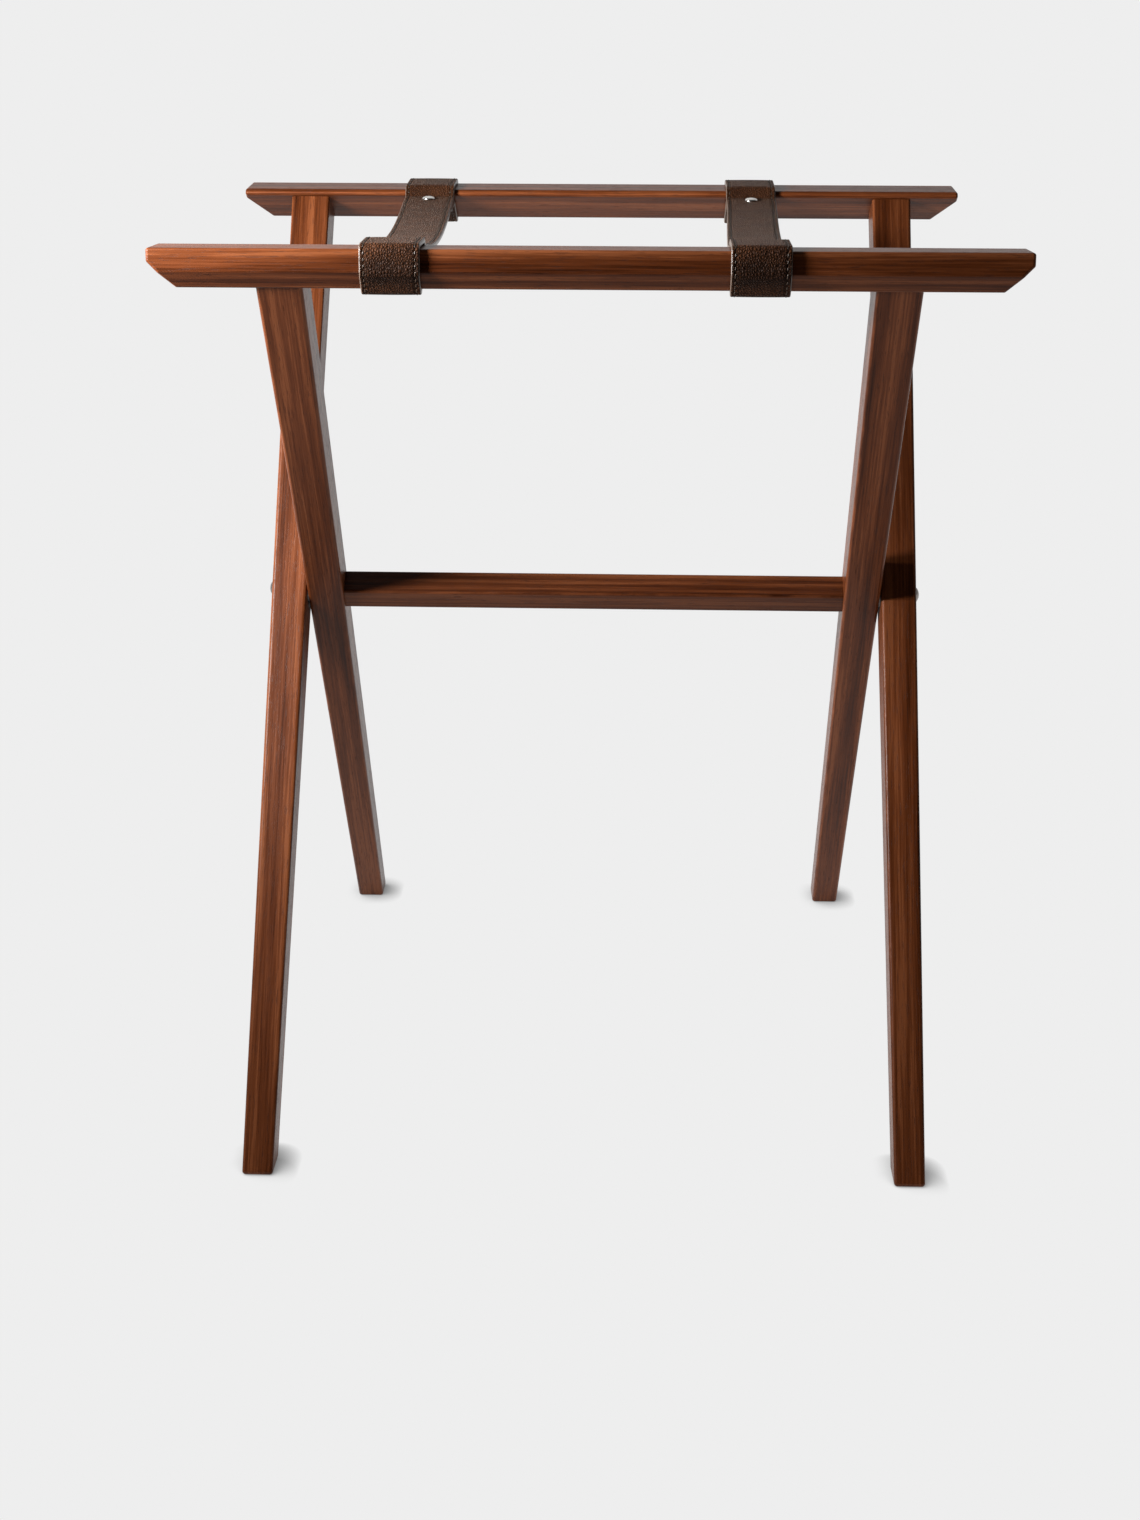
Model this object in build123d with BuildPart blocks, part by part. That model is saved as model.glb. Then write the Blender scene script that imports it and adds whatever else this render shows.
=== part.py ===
"""Folding luggage rack: two crossed wooden frames joined by pivot bolts and two leather straps.

Units are millimetres. +Z is up, X runs along the rails, and the front rail is on the -Y side.
The origin is on the floor, below the middle of the pivot axis.
"""

from build123d import *
import math
import os

os.makedirs("parts", exist_ok=True)

# ---------------------------------------------------------------- driving dimensions

# Frames
PIVOT_HEIGHT = 340.0          # pivot axis above the floor
FOOT_SPREAD = 470.0           # centre of the front feet to centre of the back feet
LEG_TOP = 305.0               # pivot axis to the top of a leg, along the leg
LEG_DEPTH_FOOT = 22.0         # leg size square to its length and to the pivot axis
LEG_DEPTH_TOP = 30.6
LEG_EDGE = 2.4                # rounding of a leg's long edges and round its sole

# Faces of the legs, as (at the foot, at the top) distances from the middle plane
INNER_LEG_INSIDE = (186.6, 173.4)
INNER_LEG_OUTSIDE = (207.3, 202.2)
OUTER_LEG_INSIDE = (208.3, 203.2)
OUTER_LEG_OUTSIDE = (229.1, 231.6)

# Rails
RAIL_LENGTH = 533.0
RAIL_BACK = 18.3              # rail faces measured from the centre line of the legs
RAIL_FRONT = 16.8
RAIL_TOP_INNER = 309.5        # height of the section's corners up the leg from the pivot
RAIL_TOP_OUTER = 329.2
RAIL_TOP_OUTER_OFFSET = 7.5
RAIL_SHOULDER = 318.8
RAIL_EDGE = 2.0
RAIL_END_DROP = 8.2           # square part of the rail's end, below its top
RAIL_END_SLOPE = 1.0          # run of the sloped end for each unit of fall

# Stretcher
STRETCHER_DEPTH = 20.0
STRETCHER_WIDTH = 18.0
STRETCHER_EDGE = 2.0

# Dowels between legs and rails
DOWEL_RADIUS = 4.0
DOWEL_SPACING = 14.0
DOWEL_OFFSET = 3.0            # from the leg's centre line, towards the rail's thick side
DOWEL_IN_RAIL = 13.0
DOWEL_IN_LEG = 24.0

# Pivot hardware
BOLT_RADIUS = 3.0
BOLT_HEAD_RADIUS = 6.0
BOLT_HEAD_RIM = 0.4
BOLT_HEAD_DOME = 2.8
BUSH_RADIUS = 4.5
INSERT_RADIUS = 4.5
INSERT_LENGTH = 15.0
BOLT_IN_INSERT = 13.0
WASHER_RADIUS = 10.0
WASHER_THICKNESS = 1.9
WASHER_SEAT_RADIUS = 10.5
WASHER_SEAT_DEPTH = 0.5

# Straps
STRAP_WIDTH = 36.5
STRAP_THICKNESS = 3.4
STRAP_TAIL = 20.0             # doubled part of the strap, inside each rail
STRAP_SLOPES = {"front": 7.95, "back": 6.05}   # slope of each doubled part, in degrees
STRAP_DROPS = {"front": -0.7, "back": 3.8}     # doubled part's middle, below the rail's inner lower edge
STRAP_LIFTS = {"front": 1.2, "back": 0.0}      # slack over the rail's inner top edge
STRAP_GAP = 0.15              # between the strap and the rail
LAYER_GAP = 0.2               # between the two layers of the doubled part
SPAN_GAP = 1.2                # between the hanging span and the doubled parts
STRAP_PLACES = {               # X of each strap at the front rail and at the back rail
    "left": {"front": -119.0, "back": -127.2},
    "right": {"front": 103.6, "back": 112.3},
}

# Strap studs
STUD_PLACE = 8.6              # from the start of the doubled part, along the strap
STUD_CAP_RADIUS = 4.9
STUD_CAP_RIM = 0.4
STUD_CAP_DOME = 1.75
STUD_POST_RADIUS = 2.0
STUD_SCREW_RADIUS = 1.2
STUD_HEAD_RADIUS = 4.6
STUD_HEAD_HEIGHT = 1.2

# Clearances
FIT = 0.02                    # round a glued or screwed piece
RUNNING_FIT = 0.05            # radial, pivot bolt in its bush
FACE_GAP = 0.1                # between faces that slide past each other

# ---------------------------------------------------------------- derived values

LEAN = math.atan2(FOOT_SPREAD / 2, PIVOT_HEIGHT)
SIN = math.sin(LEAN)
COS = math.cos(LEAN)
LEG_FOOT = -PIVOT_HEIGHT / COS
INNER = 1                     # frame that carries the front rail
OUTER = -1                    # frame that carries the back rail
SIDES = {"left": -1, "right": 1}
ENDS = {"front": -1, "back": 1}


def along_leg(height, values):
    """Value at a height up the leg, from its (foot, top) values."""
    foot, top = values
    return foot + (top - foot) * (height - LEG_FOOT) / (LEG_TOP - LEG_FOOT)


def section_plane(frame, x=0.0):
    """Plane square to X: local X leaves the leg's lower face, local Y runs up the leg."""
    return Plane(origin=(x, 0, PIVOT_HEIGHT), x_dir=(0, -frame * COS, -SIN), z_dir=(-frame, 0, 0))


def face_plane(frame):
    """Plane of a whole frame: local X is X, local Y runs up the legs."""
    return Plane(origin=(0, 0, PIVOT_HEIGHT), x_dir=(1, 0, 0), z_dir=(0, -COS, -frame * SIN))


def leg_axis_point(frame, x, height, offset=0.0):
    """Point at a height up the leg, and an offset from its centre line."""
    y = -frame * (height * SIN + offset * COS)
    z = PIVOT_HEIGHT + height * COS - offset * SIN
    return (x, y, z)


def dowel_plane(frame, x):
    """Plane at the joint of leg and rail, with its normal up the leg."""
    origin = leg_axis_point(frame, x, LEG_TOP, DOWEL_OFFSET)
    return Plane(origin=origin, x_dir=(1, 0, 0), z_dir=(0, -frame * SIN, COS))


def dowel_places(inside, outside):
    """X of each dowel on the +X side."""
    middle = (inside[1] + outside[1]) / 2
    return [middle - DOWEL_SPACING / 2, middle + DOWEL_SPACING / 2]


INNER_DOWELS = dowel_places(INNER_LEG_INSIDE, INNER_LEG_OUTSIDE)
OUTER_DOWELS = dowel_places(OUTER_LEG_INSIDE, OUTER_LEG_OUTSIDE)

STRETCHER_END = along_leg(0, INNER_LEG_INSIDE)
INNER_LEG_FACE = along_leg(0, INNER_LEG_OUTSIDE)
OUTER_LEG_FACE = along_leg(0, OUTER_LEG_INSIDE)
BOLT_FACE = along_leg(0, OUTER_LEG_OUTSIDE)


def dome_middle(radius, height):
    """Height of a round dome above its rim, half way from its rim to its middle."""
    sphere = (radius**2 + height**2) / (2 * height)
    return math.sqrt(sphere**2 - radius**2 / 4) - (sphere - height)


def save(part, name):
    """Label a finished piece and write its STEP file."""
    part.label = name
    export_step(part, f"parts/{name}.step")


# ---------------------------------------------------------------- legs


def make_leg(frame, side, inside, outside, dowels):
    """One tapered leg, cut level at the floor and square at the rail."""
    low = LEG_FOOT - 30
    half_low = along_leg(low, (LEG_DEPTH_FOOT, LEG_DEPTH_TOP)) / 2
    half_top = LEG_DEPTH_TOP / 2
    with BuildPart() as leg:
        with BuildSketch(section_plane(frame)):
            with BuildLine():
                Polyline(
                    (-half_low, low),
                    (half_low, low),
                    (half_top, LEG_TOP),
                    (-half_top, LEG_TOP),
                    close=True,
                )
            make_face()
        extrude(amount=RAIL_LENGTH / 2, both=True)
        with BuildSketch(face_plane(frame)):
            with BuildLine():
                Polyline(
                    (side * along_leg(low, inside), low),
                    (side * along_leg(low, outside), low),
                    (side * outside[1], LEG_TOP),
                    (side * inside[1], LEG_TOP),
                    close=True,
                )
            make_face()
        extrude(amount=LEG_DEPTH_TOP, both=True, mode=Mode.INTERSECT)
        split(bisect_by=Plane.XY, keep=Keep.TOP)
        long_edges = leg.edges().filter_by(lambda edge: edge.length > LEG_TOP)
        sole = leg.faces().sort_by(Axis.Z)[0]
        fillet(long_edges + sole.edges(), radius=LEG_EDGE)
        for x in dowels:
            with Locations(dowel_plane(frame, side * x)):
                Hole(radius=DOWEL_RADIUS + FIT, depth=DOWEL_IN_LEG + 1)
    return leg


def pivot_plane(x, side):
    """Plane square to the pivot axis, facing away from the middle of the rack."""
    return Plane(origin=(x, 0, PIVOT_HEIGHT), x_dir=(0, 1, 0), z_dir=(side, 0, 0))


for side_name, side in SIDES.items():
    inner_leg = make_leg(INNER, side, INNER_LEG_INSIDE, INNER_LEG_OUTSIDE, INNER_DOWELS)
    with inner_leg:
        with Locations(pivot_plane(side * INNER_LEG_FACE, side)):
            CounterBoreHole(
                radius=BOLT_RADIUS + 2 * RUNNING_FIT,
                counter_bore_radius=WASHER_SEAT_RADIUS,
                counter_bore_depth=WASHER_SEAT_DEPTH,
            )
    save(inner_leg.part, f"inner_leg_{side_name}")

    outer_leg = make_leg(OUTER, side, OUTER_LEG_INSIDE, OUTER_LEG_OUTSIDE, OUTER_DOWELS)
    with outer_leg:
        with Locations(pivot_plane(side * OUTER_LEG_FACE, -side)):
            CounterBoreHole(
                radius=BUSH_RADIUS + FIT,
                counter_bore_radius=WASHER_SEAT_RADIUS,
                counter_bore_depth=WASHER_SEAT_DEPTH,
            )
    save(outer_leg.part, f"outer_leg_{side_name}")


# ---------------------------------------------------------------- rails

RAIL_SECTION = [
    (-RAIL_BACK, LEG_TOP),
    (RAIL_FRONT, LEG_TOP),
    (RAIL_FRONT, RAIL_SHOULDER),
    (RAIL_TOP_OUTER_OFFSET, RAIL_TOP_OUTER),
    (-RAIL_BACK, RAIL_TOP_INNER),
]
RAIL_HIGH = leg_axis_point(INNER, 0, RAIL_TOP_OUTER, RAIL_TOP_OUTER_OFFSET)[2]
RAIL_LOW = leg_axis_point(INNER, 0, LEG_TOP, RAIL_FRONT)[2]


def make_rail(frame, dowels):
    """One rail: level top, sloped ends, and dowel holes over its two legs."""
    half = RAIL_LENGTH / 2
    slope_start = RAIL_HIGH - RAIL_END_DROP
    slope_end = RAIL_LOW - 5
    slope_run = RAIL_END_SLOPE * (slope_start - slope_end)
    with BuildPart() as rail:
        with BuildSketch(section_plane(frame)):
            with BuildLine():
                Polyline(*RAIL_SECTION, close=True)
            make_face()
        extrude(amount=half, both=True)
        for side in SIDES.values():
            with BuildSketch(Plane.XZ):
                with BuildLine():
                    Polyline(
                        (side * half, slope_start),
                        (side * (half + 5), slope_start),
                        (side * (half + 5), slope_end),
                        (side * (half - slope_run), slope_end),
                        close=True,
                    )
                make_face()
            extrude(amount=RAIL_LENGTH, both=True, mode=Mode.SUBTRACT)
        fillet(rail.edges(), radius=RAIL_EDGE)
        for side in SIDES.values():
            for x in dowels:
                plane = dowel_plane(frame, side * x)
                with BuildSketch(plane):
                    Circle(DOWEL_RADIUS + FIT)
                extrude(amount=DOWEL_IN_RAIL + 1, mode=Mode.SUBTRACT)
    return rail


def make_dowels(frame, dowels):
    """The dowels of one rail, two at each leg."""
    with BuildPart() as pins:
        for side in SIDES.values():
            for x in dowels:
                with BuildSketch(dowel_plane(frame, side * x).offset(-DOWEL_IN_LEG)):
                    Circle(DOWEL_RADIUS)
                extrude(amount=DOWEL_IN_LEG + DOWEL_IN_RAIL)
        chamfer(pins.edges().filter_by(GeomType.CIRCLE), length=0.8)
    return pins


front_rail = make_rail(INNER, INNER_DOWELS)
save(front_rail.part, "front_rail")
front_rail_dowels = make_dowels(INNER, INNER_DOWELS)
save(front_rail_dowels.part, "front_rail_dowels")

back_rail = make_rail(OUTER, OUTER_DOWELS)
save(back_rail.part, "back_rail")
back_rail_dowels = make_dowels(OUTER, OUTER_DOWELS)
save(back_rail_dowels.part, "back_rail_dowels")


# ---------------------------------------------------------------- stretcher

INSIDE_TAPER = (INNER_LEG_INSIDE[0] - INNER_LEG_INSIDE[1]) / (LEG_TOP - LEG_FOOT)

with BuildPart() as stretcher:
    with BuildSketch(section_plane(INNER)):
        Rectangle(STRETCHER_DEPTH, STRETCHER_WIDTH)
    extrude(amount=STRETCHER_END + 5, both=True)
    fillet(stretcher.edges().filter_by(Axis.X), radius=STRETCHER_EDGE)
    for side in SIDES.values():
        end_plane = Plane(
            origin=(side * STRETCHER_END, 0, PIVOT_HEIGHT),
            z_dir=(side, -INSIDE_TAPER * SIN, INSIDE_TAPER * COS),
        )
        split(bisect_by=end_plane, keep=Keep.BOTTOM)
    for side in SIDES.values():
        with BuildSketch(pivot_plane(side * (STRETCHER_END + 1), -side)):
            Circle(INSERT_RADIUS + FIT)
        extrude(amount=INSERT_LENGTH + 2, mode=Mode.SUBTRACT)
save(stretcher.part, "stretcher")


# ---------------------------------------------------------------- pivot hardware

BOLT_SEAT = BOLT_FACE + FACE_GAP + 0.05
BOLT_TIP = STRETCHER_END - BOLT_IN_INSERT
WASHER_BASE = INNER_LEG_FACE - WASHER_SEAT_DEPTH

for side_name, side in SIDES.items():
    # Bolt: a low domed head and a plain shank, turned about the pivot axis
    head_rim = BOLT_SEAT + BOLT_HEAD_RIM
    head_top = head_rim + BOLT_HEAD_DOME
    head_middle = head_rim + dome_middle(BOLT_HEAD_RADIUS, BOLT_HEAD_DOME)
    with BuildPart() as pivot_bolt:
        with BuildSketch(Plane(origin=(0, 0, PIVOT_HEIGHT), x_dir=(side, 0, 0), z_dir=(0, -side, 0))):
            with BuildLine():
                Polyline(
                    (head_top, 0),
                    (BOLT_TIP, 0),
                    (BOLT_TIP, BOLT_RADIUS - 0.6),
                    (BOLT_TIP + 0.6, BOLT_RADIUS),
                    (BOLT_SEAT, BOLT_RADIUS),
                    (BOLT_SEAT, BOLT_HEAD_RADIUS),
                    (head_rim, BOLT_HEAD_RADIUS),
                )
                ThreePointArc(
                    (head_rim, BOLT_HEAD_RADIUS),
                    (head_middle, BOLT_HEAD_RADIUS / 2),
                    (head_top, 0),
                )
            make_face()
        revolve(axis=Axis((0, 0, PIVOT_HEIGHT), (1, 0, 0)))
    save(pivot_bolt.part, f"pivot_bolt_{side_name}")

    # Bush: lines the outer leg
    bush_start = OUTER_LEG_FACE + WASHER_SEAT_DEPTH
    with BuildPart() as pivot_bush:
        with BuildSketch(pivot_plane(side * bush_start, side)):
            Circle(BUSH_RADIUS)
            Circle(BOLT_RADIUS + RUNNING_FIT, mode=Mode.SUBTRACT)
        extrude(amount=BOLT_FACE - 0.2 - bush_start)
    save(pivot_bush.part, f"pivot_bush_{side_name}")

    # Washer: spaces the two legs
    with BuildPart() as pivot_washer:
        with BuildSketch(pivot_plane(side * WASHER_BASE, side)):
            Circle(WASHER_RADIUS)
            Circle(BOLT_RADIUS + 2 * RUNNING_FIT, mode=Mode.SUBTRACT)
        extrude(amount=WASHER_THICKNESS)
        rim = pivot_washer.edges().filter_by(GeomType.CIRCLE).sort_by(SortBy.RADIUS)[-2:]
        chamfer(rim, length=0.3)
    save(pivot_washer.part, f"pivot_washer_{side_name}")

    # Threaded insert: in the end of the stretcher
    with BuildPart() as pivot_insert:
        with BuildSketch(pivot_plane(side * (STRETCHER_END - 0.3), -side)):
            Circle(INSERT_RADIUS)
            Circle(BOLT_RADIUS + FIT, mode=Mode.SUBTRACT)
        extrude(amount=INSERT_LENGTH)
    save(pivot_insert.part, f"pivot_insert_{side_name}")


# ---------------------------------------------------------------- straps


def crossing(point_a, angle_a, point_b, angle_b):
    """Point where two lines in a plane cross, each given by a point and an angle."""
    ax, ay = point_a
    bx, by = point_b
    cross = math.cos(angle_a) * math.sin(angle_b) - math.sin(angle_a) * math.cos(angle_b)
    reach = ((bx - ax) * math.sin(angle_b) - (by - ay) * math.cos(angle_b)) / cross
    return (ax + reach * math.cos(angle_a), ay + reach * math.sin(angle_a))


def shifted(point, angle, distance):
    """Point moved to the left of a direction by a distance."""
    return (point[0] - distance * math.sin(angle), point[1] + distance * math.cos(angle))


def moved(point, angle, distance):
    """Point moved along a direction."""
    return (point[0] + distance * math.cos(angle), point[1] + distance * math.sin(angle))


def rail_corner(index):
    """Corner of the front rail's section as (Y, Z)."""
    offset, height = RAIL_SECTION[index]
    return leg_axis_point(INNER, 0, height, offset)[1:]


def heading(start, end):
    """Angle of the line from start to end."""
    return math.atan2(end[1] - start[1], end[0] - start[0])


LAYER = STRAP_GAP + STRAP_THICKNESS / 2
LAYER_STEP = STRAP_THICKNESS + LAYER_GAP
TAIL_HALF = STRAP_THICKNESS + LAYER_GAP / 2
WRAP_RADIUS = RAIL_EDGE + LAYER
TAIL_RADIUS = 3.0             # upper layer, where it turns into the doubled part
RETURN_RADIUS = 3.0           # lower layer, where it turns into the doubled part

INNER_EDGE = rail_corner(4)
TOP_EDGE = rail_corner(3)
SHOULDER = rail_corner(2)
BOTTOM_EDGE = rail_corner(1)
UNDER_EDGE = rail_corner(0)
INWARD = {name: -math.radians(slope) for name, slope in STRAP_SLOPES.items()}


def leather_line(start, end):
    """Middle line of leather that lies on a rail's face, as a point and an angle."""
    angle = heading(start, end)
    return shifted(start, angle, LAYER), angle


def loop_path(end_name):
    """Middle line of a loop: in over the rail's top, from the doubled part, and back under the rail."""
    inward = INWARD[end_name]
    crest = (INNER_EDGE[0], INNER_EDGE[1] + STRAP_LIFTS[end_name])
    middle = (UNDER_EDGE[0], UNDER_EDGE[1] - STRAP_DROPS[end_name])
    upper = (shifted(middle, inward, LAYER_STEP / 2), inward)
    lower = (shifted(middle, inward, -LAYER_STEP / 2), inward)
    face = leather_line(INNER_EDGE, UNDER_EDGE)
    top = leather_line(TOP_EDGE, crest)
    front = leather_line(SHOULDER, TOP_EDGE)
    low_front = leather_line(BOTTOM_EDGE, SHOULDER)
    under = leather_line(UNDER_EDGE, BOTTOM_EDGE)
    tail_start = crossing(*upper, *face)
    tail_end = moved(tail_start, inward, STRAP_TAIL)
    return [
        tail_end,
        tail_start,
        crossing(*face, *top),
        crossing(*top, *front),
        crossing(*front, *low_front),
        crossing(*low_front, *under),
        crossing(*under, *lower),
        shifted(tail_end, inward, -LAYER_STEP),
    ]


LOOP_RADII = [TAIL_RADIUS, WRAP_RADIUS, WRAP_RADIUS, WRAP_RADIUS, WRAP_RADIUS, RETURN_RADIUS]
LOOP_PATHS = {name: loop_path(name) for name in ENDS}


def mirrored(end_name, point):
    """Point (Y, Z) of the front rail's section, on the rail at that end."""
    return (-ENDS[end_name] * point[0], point[1])


def stud_plane(x, end_name):
    """Plane across the doubled part at its stud, with its normal up out of the leather."""
    inward = INWARD[end_name]
    tail_start = LOOP_PATHS[end_name][1]
    y, z = mirrored(end_name, shifted(moved(tail_start, inward, STUD_PLACE), inward, -LAYER_STEP / 2))
    normal = (0, ENDS[end_name] * math.sin(inward), math.cos(inward))
    return Plane(origin=(x, y, z), x_dir=(1, 0, 0), z_dir=normal)


def make_loop(x, end_name):
    """Strap wrapped round one rail."""
    points = [mirrored(end_name, point) for point in LOOP_PATHS[end_name]]
    with BuildPart() as loop:
        with BuildSketch(Plane.YZ.offset(x)):
            with BuildLine():
                FilletPolyline(*points, radius=LOOP_RADII)
            trace(line_width=STRAP_THICKNESS)
        extrude(amount=STRAP_WIDTH / 2, both=True)
        with Locations(stud_plane(x, end_name).offset(TAIL_HALF)):
            Hole(radius=STUD_POST_RADIUS + 0.1, depth=2 * TAIL_HALF + 0.5)
    return loop


def span_end(end_name):
    """End of the hanging span, just inside a doubled part, as (Y, Z)."""
    tail_end = LOOP_PATHS[end_name][0]
    return mirrored(end_name, moved(tail_end, INWARD[end_name], SPAN_GAP))


def make_span(front_x, back_x):
    """Hanging middle of a strap, one shallow arc between the doubled parts."""
    front_y, front_z = span_end("front")
    back_y, back_z = span_end("back")
    skew = (back_x - front_x) / (back_y - front_y)
    stretch = math.hypot(1, skew)
    slope = math.radians(sum(STRAP_SLOPES.values()) / 2)
    sag = stretch * (back_y - front_y) / 2 * math.tan(slope / 2)
    middle_y = (front_y + back_y) / 2
    plane = Plane(
        origin=((front_x + back_x) / 2 - skew * middle_y, 0, 0),
        x_dir=(skew, 1, 0),
        z_dir=(1, -skew, 0),
    )
    with BuildPart() as span:
        with BuildSketch(plane):
            with BuildLine():
                ThreePointArc(
                    (stretch * front_y, front_z),
                    (stretch * middle_y, (front_z + back_z) / 2 - sag),
                    (stretch * back_y, back_z),
                )
            trace(line_width=STRAP_THICKNESS)
        extrude(amount=STRAP_WIDTH / 2, both=True)
    return span


def make_stud(x, end_name):
    """Domed cap with a hollow post through both layers."""
    base = stud_plane(x, end_name)
    bore = STUD_SCREW_RADIUS + FIT
    post_end = -TAIL_HALF + 0.6
    bore_end = post_end + 4.5
    cap_base = TAIL_HALF + 0.05
    cap_rim = cap_base + STUD_CAP_RIM
    cap_middle = cap_rim + dome_middle(STUD_CAP_RADIUS, STUD_CAP_DOME)
    cap_top = cap_rim + STUD_CAP_DOME
    with BuildPart() as stud:
        with BuildSketch(Plane(origin=base.origin, x_dir=base.x_dir, z_dir=-base.y_dir)):
            with BuildLine():
                Polyline(
                    (0, cap_top),
                    (0, bore_end),
                    (bore, bore_end),
                    (bore, post_end),
                    (STUD_POST_RADIUS, post_end),
                    (STUD_POST_RADIUS, cap_base),
                    (STUD_CAP_RADIUS, cap_base),
                    (STUD_CAP_RADIUS, cap_rim),
                )
                ThreePointArc(
                    (STUD_CAP_RADIUS, cap_rim),
                    (STUD_CAP_RADIUS / 2, cap_middle),
                    (0, cap_top),
                )
            make_face()
        revolve(axis=Axis(base.origin, base.z_dir))
    return stud


def make_stud_screw(x, end_name):
    """Low slotted head and a core that screws up into a stud's post."""
    base = stud_plane(x, end_name)
    seat = -TAIL_HALF - 0.05
    with BuildPart() as screw:
        with BuildSketch(base.offset(seat - STUD_HEAD_HEIGHT)):
            Circle(STUD_HEAD_RADIUS)
        extrude(amount=STUD_HEAD_HEIGHT)
        fillet(screw.edges().sort_by(Axis(base.origin, base.z_dir))[0], radius=0.8)
        with BuildSketch(base.offset(seat)):
            Circle(STUD_SCREW_RADIUS)
        extrude(amount=4.0)
        with BuildSketch(base.offset(seat - STUD_HEAD_HEIGHT)):
            Rectangle(2 * STUD_HEAD_RADIUS + 1, 1.0)
        extrude(amount=0.6, mode=Mode.SUBTRACT)
    return screw


for side_name, places in STRAP_PLACES.items():
    span = make_span(places["front"], places["back"])
    save(span.part, f"strap_{side_name}_span")
    for end_name in ENDS:
        x = places[end_name]
        loop = make_loop(x, end_name)
        save(loop.part, f"strap_{side_name}_{end_name}_loop")
        stud = make_stud(x, end_name)
        save(stud.part, f"strap_stud_{side_name}_{end_name}")
        screw = make_stud_screw(x, end_name)
        save(screw.part, f"strap_screw_{side_name}_{end_name}")
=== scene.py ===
import math

import bmesh
import bpy
from mathutils import Matrix, Vector


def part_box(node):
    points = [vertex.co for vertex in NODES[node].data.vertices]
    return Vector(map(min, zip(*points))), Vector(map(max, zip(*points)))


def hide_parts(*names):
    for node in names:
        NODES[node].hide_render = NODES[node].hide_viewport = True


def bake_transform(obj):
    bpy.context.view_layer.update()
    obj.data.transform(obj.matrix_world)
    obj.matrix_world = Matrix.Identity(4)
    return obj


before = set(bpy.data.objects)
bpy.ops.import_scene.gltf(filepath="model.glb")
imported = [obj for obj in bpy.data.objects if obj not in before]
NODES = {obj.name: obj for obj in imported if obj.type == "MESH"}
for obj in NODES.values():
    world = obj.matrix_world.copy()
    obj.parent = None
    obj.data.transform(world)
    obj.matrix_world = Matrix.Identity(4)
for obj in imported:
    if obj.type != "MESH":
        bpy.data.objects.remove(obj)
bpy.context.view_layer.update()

# ---------------------------------------------------------------- the rack's own geometry
# Two crossed frames share the pivot axis. The inner frame carries the front rail (-Y).

PIVOT_HEIGHT = 0.340
FOOT_SPREAD = 0.470
LEAN = math.atan2(FOOT_SPREAD / 2, PIVOT_HEIGHT)
INNER = 1
OUTER = -1
SIDES = {"left": -1, "right": 1}
ENDS = {"front": -1, "back": 1}

LEG_TOP = 0.305
RAIL_BACK = 0.0183
RAIL_FRONT = 0.0168
RAIL_TOP_INNER = 0.3095
RAIL_TOP_OUTER = 0.3292
RAIL_TOP_OUTER_OFFSET = 0.0075
RAIL_SHOULDER = 0.3188
RAIL_EDGE = 0.002              # rounding of the rails' edges
RAIL_END_SLOPE = 1.0           # of the undercut ends, as run for each unit of height
RAIL_SECTION = [               # outwards from the leg's centre line, and up the leg from the pivot
    (-RAIL_BACK, LEG_TOP),
    (RAIL_FRONT, LEG_TOP),
    (RAIL_FRONT, RAIL_SHOULDER),
    (RAIL_TOP_OUTER_OFFSET, RAIL_TOP_OUTER),
    (-RAIL_BACK, RAIL_TOP_INNER),
]
LEG_SPLAY = {INNER: 0.0127, OUTER: 0.0018}   # run of a leg's centre line towards the middle, per unit

# Straps. A strap's end goes round its rail and back under itself, so that it is doubled for a short
# way inside the rail, where a stud holds both layers.
STRAP_WIDTH = 0.0365
STRAP_THICKNESS = 0.0034
STRAP_TAIL = 0.020             # length of the doubled part
STRAP_SLOPES = {"front": math.radians(7.95), "back": math.radians(6.05)}   # of the doubled part, downwards
STRAP_DROPS = {"front": -0.0007, "back": 0.0038}   # its middle, below the rail's lower inner corner
STRAP_LIFTS = {"front": 0.0012, "back": 0.0}       # of the leather above the rail's upper inner corner
STRAP_GAP = 0.00015            # between leather and wood
LAYER_GAP = 0.0002             # between the two layers of the doubled part
SPAN_GAP = 0.0012              # from the doubled part to the arc of the hanging span
TAIL_RADIUS = 0.003            # bend of the upper layer where it leaves the rail
RETURN_RADIUS = 0.003          # bend of the lower layer where it meets the rail
STUD_PLACE = 0.0086            # of a stud, from the start of the doubled part


def frame_point(height, offset):
    """Point (Y, Z) of the front frame at a height up the leg and an offset from its centre line."""
    y = -(height * math.sin(LEAN) + offset * math.cos(LEAN))
    z = PIVOT_HEIGHT + height * math.cos(LEAN) - offset * math.sin(LEAN)
    return (y, z)


# ---------------------------------------------------------------- node helpers


def add(tree, kind, inputs=(), **settings):
    """Add a node, set its properties, and fill its inputs with values or links."""
    made = tree.nodes.new(kind)
    for name, value in settings.items():
        setattr(made, name, value)
    for name, value in dict(inputs).items():
        socket = made.inputs[name]
        if isinstance(value, bpy.types.NodeSocket):
            tree.links.new(value, socket)
        else:
            socket.default_value = value
    return made


def math_node(tree, operation, *values):
    """A Math node's output, from up to three values or sockets."""
    return add(tree, "ShaderNodeMath", enumerate(values), operation=operation).outputs[0]


def noise(tree, vector, scale, detail=3.0, roughness=0.55, distortion=0.0):
    """Grey noise, from 0 to 1."""
    inputs = {"Vector": vector, "Scale": scale, "Detail": detail}
    inputs.update({"Roughness": roughness, "Distortion": distortion})
    return add(tree, "ShaderNodeTexNoise", inputs).outputs[0]


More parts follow.
